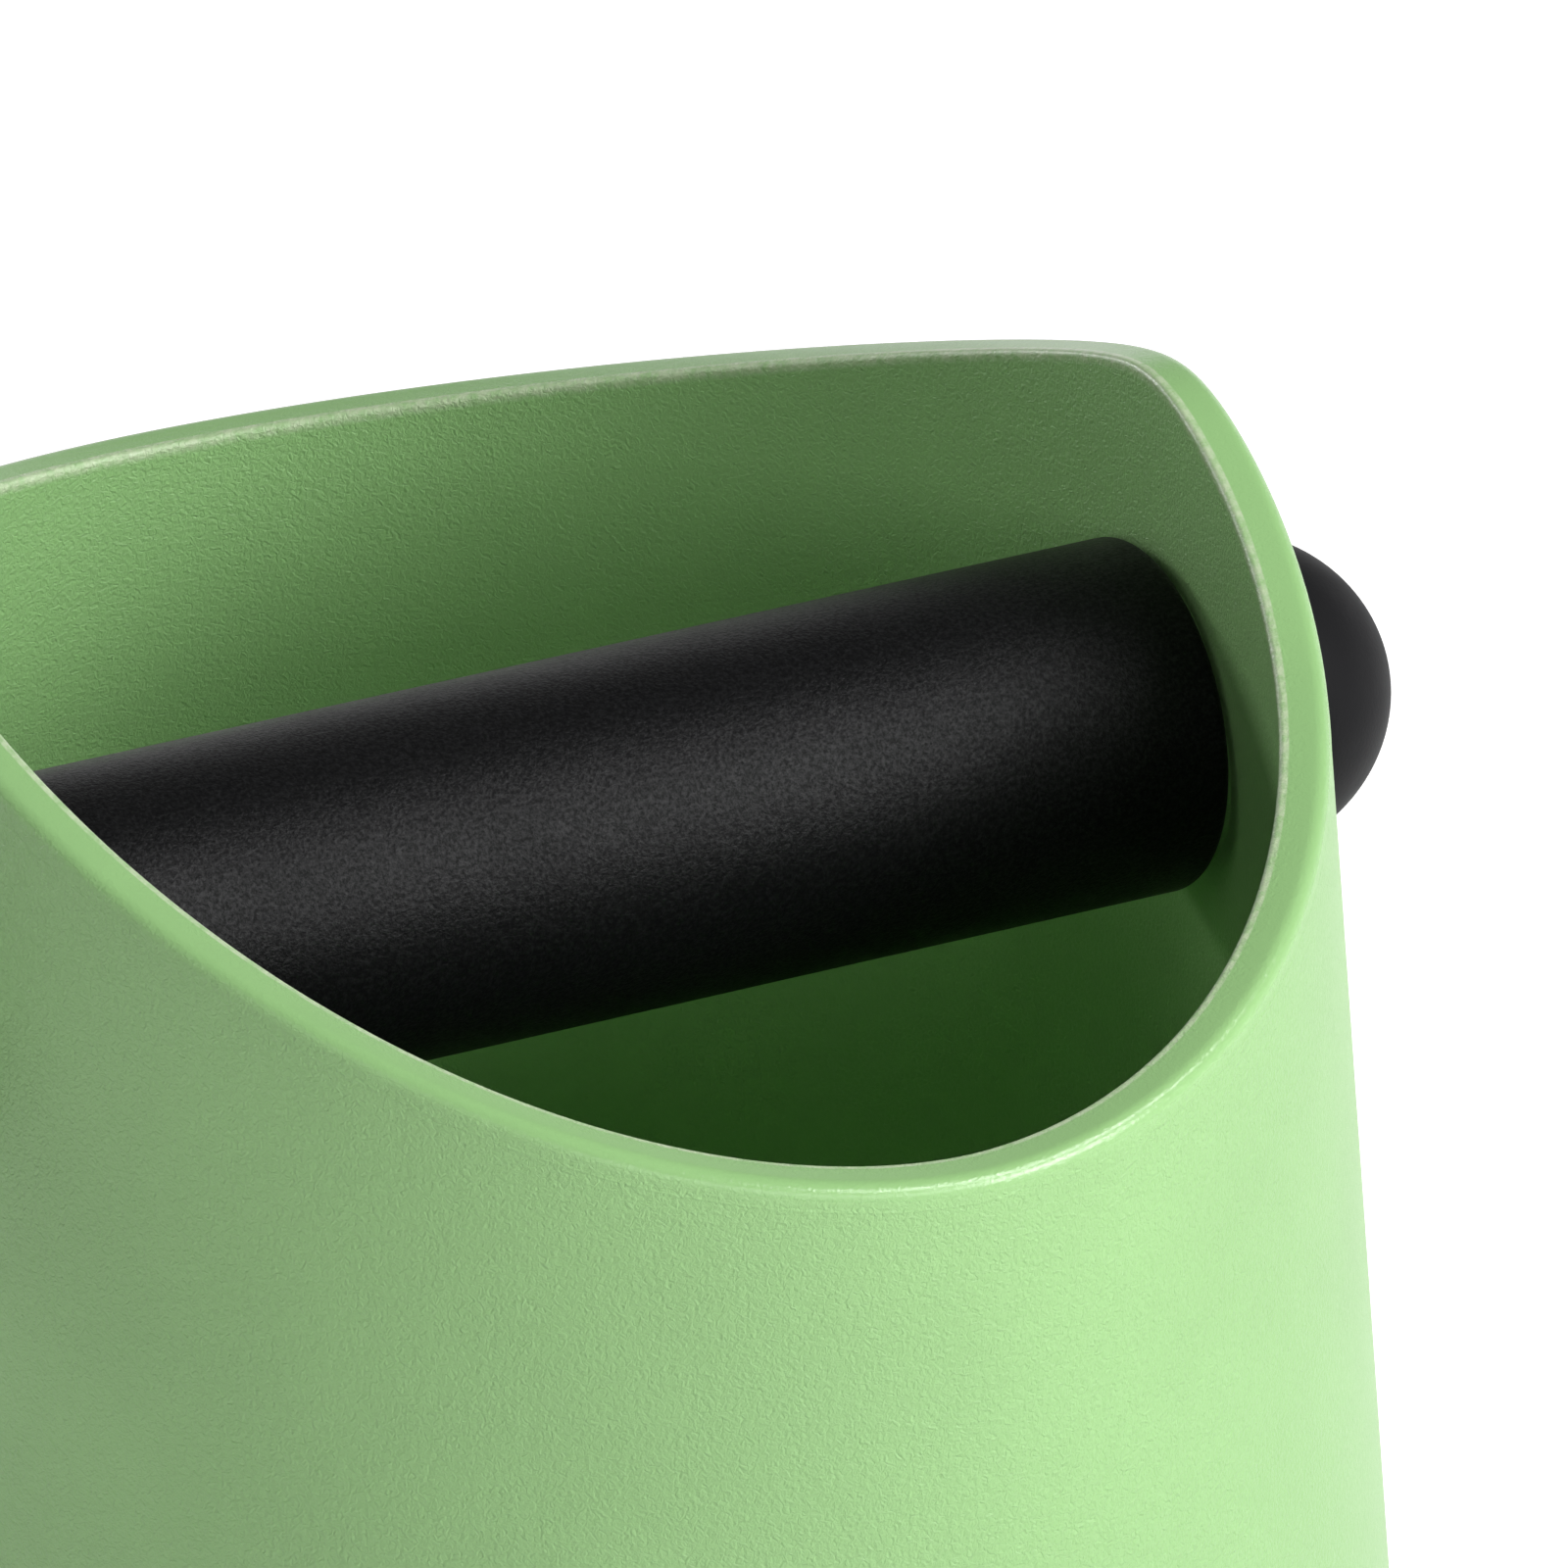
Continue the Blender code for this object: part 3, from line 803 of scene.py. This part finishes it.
def aimed(place, aim, roll=0.0):
    """Turn of a lamp or camera that looks from a place at an aim, as angles about X, Y and Z.

    Its back axis is the unit vector from aim to place, its right axis is level, and both right and up
    are then rolled about the back axis.
    """
    back = np.subtract(place, aim) / np.linalg.norm(np.subtract(place, aim))
    right = np.array([-back[1], back[0], 0.0]) / math.hypot(back[0], back[1])
    up = np.cross(back, right)
    right, up = math.cos(roll) * right + math.sin(roll) * up, math.cos(roll) * up - math.sin(roll) * right
    return math.atan2(up[2], back[2]), -math.asin(right[2]), math.atan2(right[1], right[0])


def soft_lamp(name, direction, distance, width, height, power):
    """Rectangular lamp of a width and height at a distance in a direction from the lamps' aim."""
    light = bpy.data.lights.new(name, "AREA")
    light.shape = "RECTANGLE"
    light.size = width
    light.size_y = height
    light.energy = power
    lamp = bpy.data.objects.new(name, light)
    lamp.visible_camera = False
    place = LAMP_AIM + distance * np.array(direction) / np.linalg.norm(direction)
    lamp.location = place
    lamp.rotation_euler = aimed(place, LAMP_AIM)
    bpy.context.scene.collection.objects.link(lamp)


soft_lamp("front_lamp", (0.08, -0.94, 0.33), distance=1.20, width=2.20, height=0.34, power=6.4)
soft_lamp("right_lamp", (0.56, -0.70, 0.45), distance=1.10, width=0.50, height=0.30, power=5.6)
soft_lamp("left_lamp", (-0.76, -0.35, 0.50), distance=1.10, width=0.50, height=0.40, power=0.8)
soft_lamp("rear_lamp", (-0.44, 0.78, 0.25), distance=1.10, width=0.50, height=0.30, power=3.0)
soft_lamp("sheen_lamp", (0.41, -0.47, 0.75), distance=1.00, width=0.90, height=0.10, power=5.0)

# Camera: a long lens at the front left, looking down over the front of the rim at the bar's right end.
# Its place, aim, roll and lens come from the fit of the tub's edges.
CAMERA_PLACE = (-0.7712, -1.49205, 0.90217)
CAMERA_AIM = (0.021585, 0.000935, 0.092258)
CAMERA_ROLL = math.radians(0.36)
CAMERA_LENS = 560.08
CAMERA_SENSOR = 36.0
CAMERA_SEES_TO = 40.0

lens = bpy.data.cameras.new("long_lens")
lens.lens = CAMERA_LENS
lens.sensor_width = CAMERA_SENSOR
lens.clip_end = CAMERA_SEES_TO
camera = bpy.data.objects.new("camera", lens)
camera.location = CAMERA_PLACE
camera.rotation_euler = aimed(CAMERA_PLACE, CAMERA_AIM, CAMERA_ROLL)
bpy.context.scene.collection.objects.link(camera)
bpy.context.scene.camera = camera
bpy.context.scene.view_settings.view_transform = "Standard"
